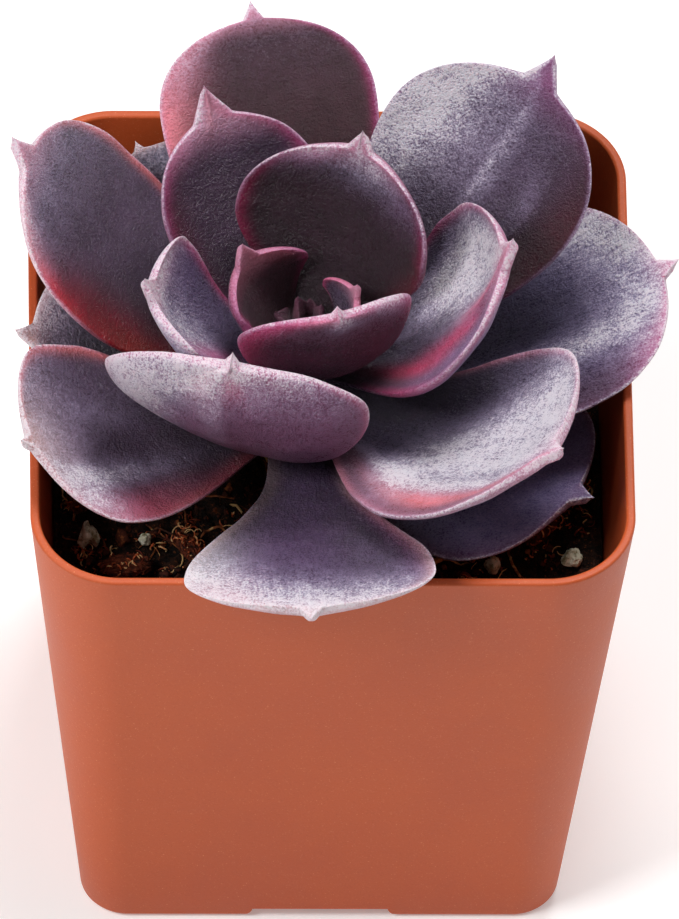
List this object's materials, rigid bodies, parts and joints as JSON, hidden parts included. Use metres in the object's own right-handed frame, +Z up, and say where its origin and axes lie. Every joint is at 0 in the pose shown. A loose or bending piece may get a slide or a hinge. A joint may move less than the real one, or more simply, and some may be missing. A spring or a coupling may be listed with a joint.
{
  "type": "potted echeveria",
  "caption": "Rosette of cupped, pointed fleshy leaves on a short stem, growing in a square tapered nursery pot filled with bark mix; a decorative houseplant that stands on its flat base.",
  "frame": {"origin": "middle of the pot's underside, on the surface that the pot stands on", "axes": "+Z up, out of the pot; +X to the right and -Y to the front, which is the side the picture was taken from"},
  "size_m": [0.0707, 0.078, 0.0892],
  "materials": {
    "terracotta_plastic": "satin moulded plastic, terracotta coloured",
    "growing_mix": "matte, crumbly peat, coir and fine bark",
    "stem_skin": "matte, corky, ringed with leaf scars",
    "outer_leaf": "matte, fleshy, grey-green to mauve with a powdery bloom and pink margins",
    "middle_leaf": "matte, fleshy, dusty purple with a powdery bloom and pink margins",
    "inner_leaf": "satin, fleshy, dark plum with crimson margins",
    "perlite": "matte, porous, off-white",
    "bark": "matte, fibrous, red-brown",
    "straw": "matte, pale, fibrous"
  },
  "bodies": {
    "root": {"pot": "terracotta_plastic", "soil": "growing_mix", "stem": "stem_skin", "leaf_01": "outer_leaf", "leaf_02": "outer_leaf", "leaf_03": "outer_leaf", "leaf_04": "outer_leaf", "leaf_05": "outer_leaf", "leaf_06": "outer_leaf", "leaf_07": "outer_leaf", "leaf_08": "middle_leaf", "leaf_09": "middle_leaf", "leaf_10": "middle_leaf", "leaf_11": "middle_leaf", "leaf_12": "middle_leaf", "leaf_13": "inner_leaf", "leaf_14": "middle_leaf", "leaf_15": "middle_leaf", "leaf_16": "inner_leaf", "leaf_17": "inner_leaf", "leaf_18": "inner_leaf", "leaf_19": "inner_leaf", "crown_bud": "inner_leaf", "perlite_1": "perlite", "perlite_2": "perlite", "perlite_3": "perlite", "perlite_4": "perlite", "bark_1": "bark", "bark_2": "bark", "bark_3": "bark", "bark_4": "bark", "bark_5": "bark", "bark_6": "bark", "bark_7": "bark", "straw_1": "straw", "straw_2": "straw"}
  },
  "joints": []
}
